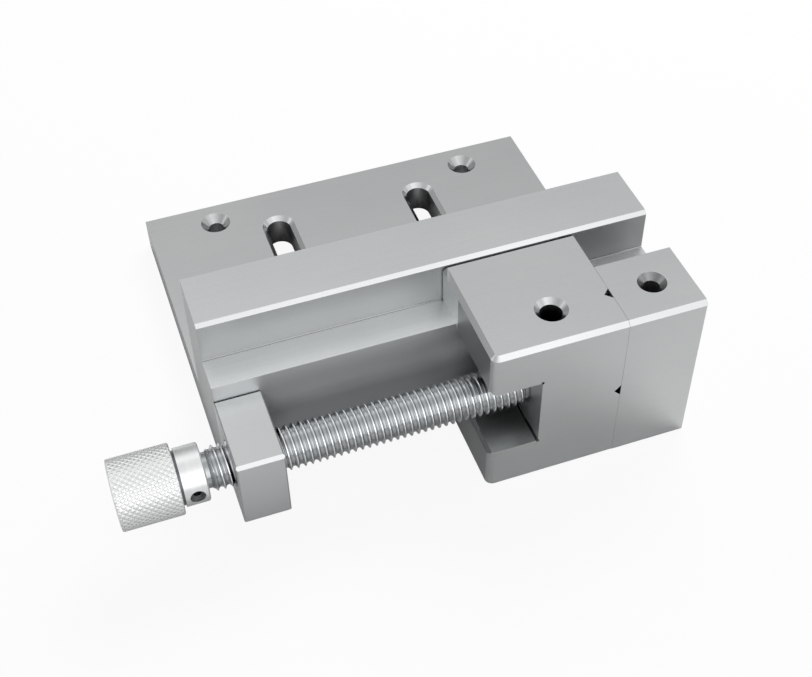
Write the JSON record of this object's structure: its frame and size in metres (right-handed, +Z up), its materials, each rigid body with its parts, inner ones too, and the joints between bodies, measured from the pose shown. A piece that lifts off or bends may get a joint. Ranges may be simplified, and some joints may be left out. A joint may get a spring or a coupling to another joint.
{
  "type": "flanged screw vise",
  "caption": "Ground steel screw vise: L-shaped body with a slotted flange behind, fixed jaw, sliding jaw on a ledge, lead screw through a nut block and a knurled knob.",
  "frame": {"origin": "on the base plane, at the middle of the body's length, under the front face of the rail", "axes": "+X from the knob towards the fixed jaw, along the lead screw; +Y from the jaws towards the flange; +Z up"},
  "size_m": [0.1862, 0.1527, 0.0614],
  "materials": {
    "ground_steel": "fine ground, satin",
    "turned_steel": "bright turned, threaded",
    "knurled_steel": "bright turned, diamond knurl",
    "fastener_steel": "plain stainless"
  },
  "bodies": {
    "vise_body": {"vise_body": "ground_steel", "nut_block": "ground_steel", "nut_block_screw_lower": "fastener_steel", "nut_block_screw_upper": "fastener_steel", "nut_block_dowel_left": "fastener_steel", "nut_block_dowel_right": "fastener_steel"},
    "moving_jaw": {"moving_jaw": "ground_steel", "jaw_keeper": "ground_steel", "keeper_screw_left": "fastener_steel", "keeper_screw_right": "fastener_steel", "journal_set_screw": "fastener_steel"},
    "lead_screw": {"lead_screw": "turned_steel", "knob": "knurled_steel", "knob_set_screw": "fastener_steel"}
  },
  "joints": [
    {"name": "jaw_slide", "type": "slide", "parent": "vise_body", "child": "moving_jaw", "axis": [-1, 0, 0], "range_m": [0, 0.062]},
    {"name": "screw_turn", "type": "hinge", "parent": "moving_jaw", "child": "lead_screw", "pos_m": [0, -0.0288, 0.0298], "axis": [-1, 0, 0], "range_deg": [0, 9705]}
  ],
  "couplings": [
    {"joint": "screw_turn", "follows": "jaw_slide", "rad_per_m": 2731.8}
  ]
}
